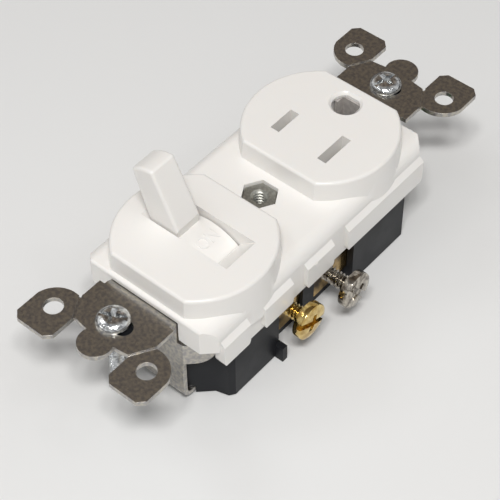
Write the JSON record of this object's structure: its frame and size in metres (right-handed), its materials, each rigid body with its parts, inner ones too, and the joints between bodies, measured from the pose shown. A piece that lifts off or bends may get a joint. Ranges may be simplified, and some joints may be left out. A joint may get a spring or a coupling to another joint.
{
  "type": "switch and socket combination",
  "caption": "Flush wall-box device with a toggle switch and a three-hole socket outlet in one white moulded face, black back, steel strap and side screw terminals.",
  "frame": {"origin": "mouth of the threaded hole in the middle post, level with the top of the strap's ears", "axes": "+Z out of the face, +Y along the strap towards the socket end, +X towards the side with the switched and the neutral terminal screws; the device lies on its back on the housing's rails"},
  "size_m": [0.0419, 0.1054, 0.0434],
  "materials": {
    "white_plastic": "gloss",
    "black_plastic": "satin",
    "zinc_steel": "zinc plated",
    "zinc_screw": "bright zinc",
    "contact_brass": "rolled",
    "screw_brass": "polished",
    "nickel": "nickel plated",
    "green_screw": "green dyed zinc",
    "silver": "satin",
    "spring_steel": "bright"
  },
  "bodies": {
    "body": {"cover": "white_plastic", "housing": "black_plastic", "strap": "zinc_steel", "centre_post": "zinc_steel", "fixed_contact": "silver", "switched_terminal": "contact_brass", "neutral_contact": "contact_brass", "line_contact": "contact_brass", "ground_contact": "zinc_steel", "ground_rivet": "zinc_steel"},
    "toggle": {"toggle_lever": "white_plastic"},
    "arm": {"contact_arm": "contact_brass", "moving_contact": "silver", "contact_spring": "spring_steel"},
    "switched_screw": {"switched_screw": "screw_brass"},
    "neutral_screw": {"neutral_screw": "nickel"},
    "line_screw_switch": {"line_screw_switch": "screw_brass"},
    "line_screw_outlet": {"line_screw_outlet": "screw_brass"},
    "ground_screw": {"ground_screw": "green_screw"},
    "mounting_screw_switch_end": {"mounting_screw_switch_end": "zinc_screw"},
    "mounting_screw_outlet_end": {"mounting_screw_outlet_end": "zinc_screw"}
  },
  "joints": [
    {"name": "toggle_swing", "type": "hinge", "parent": "body", "child": "toggle", "pos_m": [-0.0007, -0.01755, -0.008], "axis": [0, 1, 0], "range_deg": [0, 44]},
    {"name": "arm_rock", "type": "hinge", "parent": "body", "child": "arm", "pos_m": [0.0086, -0.0177, -0.0157], "axis": [0, 1, 0], "range_deg": [-4.6, 0], "deforming": ["contact_spring"]},
    {"name": "switched_screw_travel", "type": "slide", "parent": "body", "child": "switched_screw", "axis": [-1, 0, 0], "range_m": [0, 0.0047]},
    {"name": "neutral_screw_travel", "type": "slide", "parent": "body", "child": "neutral_screw", "axis": [-1, 0, 0], "range_m": [0, 0.0067]},
    {"name": "line_screw_switch_travel", "type": "slide", "parent": "body", "child": "line_screw_switch", "axis": [1, 0, 0], "range_m": [0, 0.002]},
    {"name": "line_screw_outlet_travel", "type": "slide", "parent": "body", "child": "line_screw_outlet", "axis": [1, 0, 0], "range_m": [0, 0.002]},
    {"name": "ground_screw_travel", "type": "slide", "parent": "body", "child": "ground_screw", "axis": [0, -1, 0], "range_m": [0, 0.0028]},
    {"name": "mounting_screw_switch_end_shift", "type": "slide", "parent": "body", "child": "mounting_screw_switch_end", "axis": [1, 0, 0], "range_m": [-0.0009, 0.0025]},
    {"name": "mounting_screw_outlet_end_shift", "type": "slide", "parent": "body", "child": "mounting_screw_outlet_end", "axis": [1, 0, 0], "range_m": [-0.0017, 0.0017]}
  ],
  "couplings": [
    {"joint": "arm_rock", "follows": "toggle_swing", "ratio": -0.10454}
  ]
}
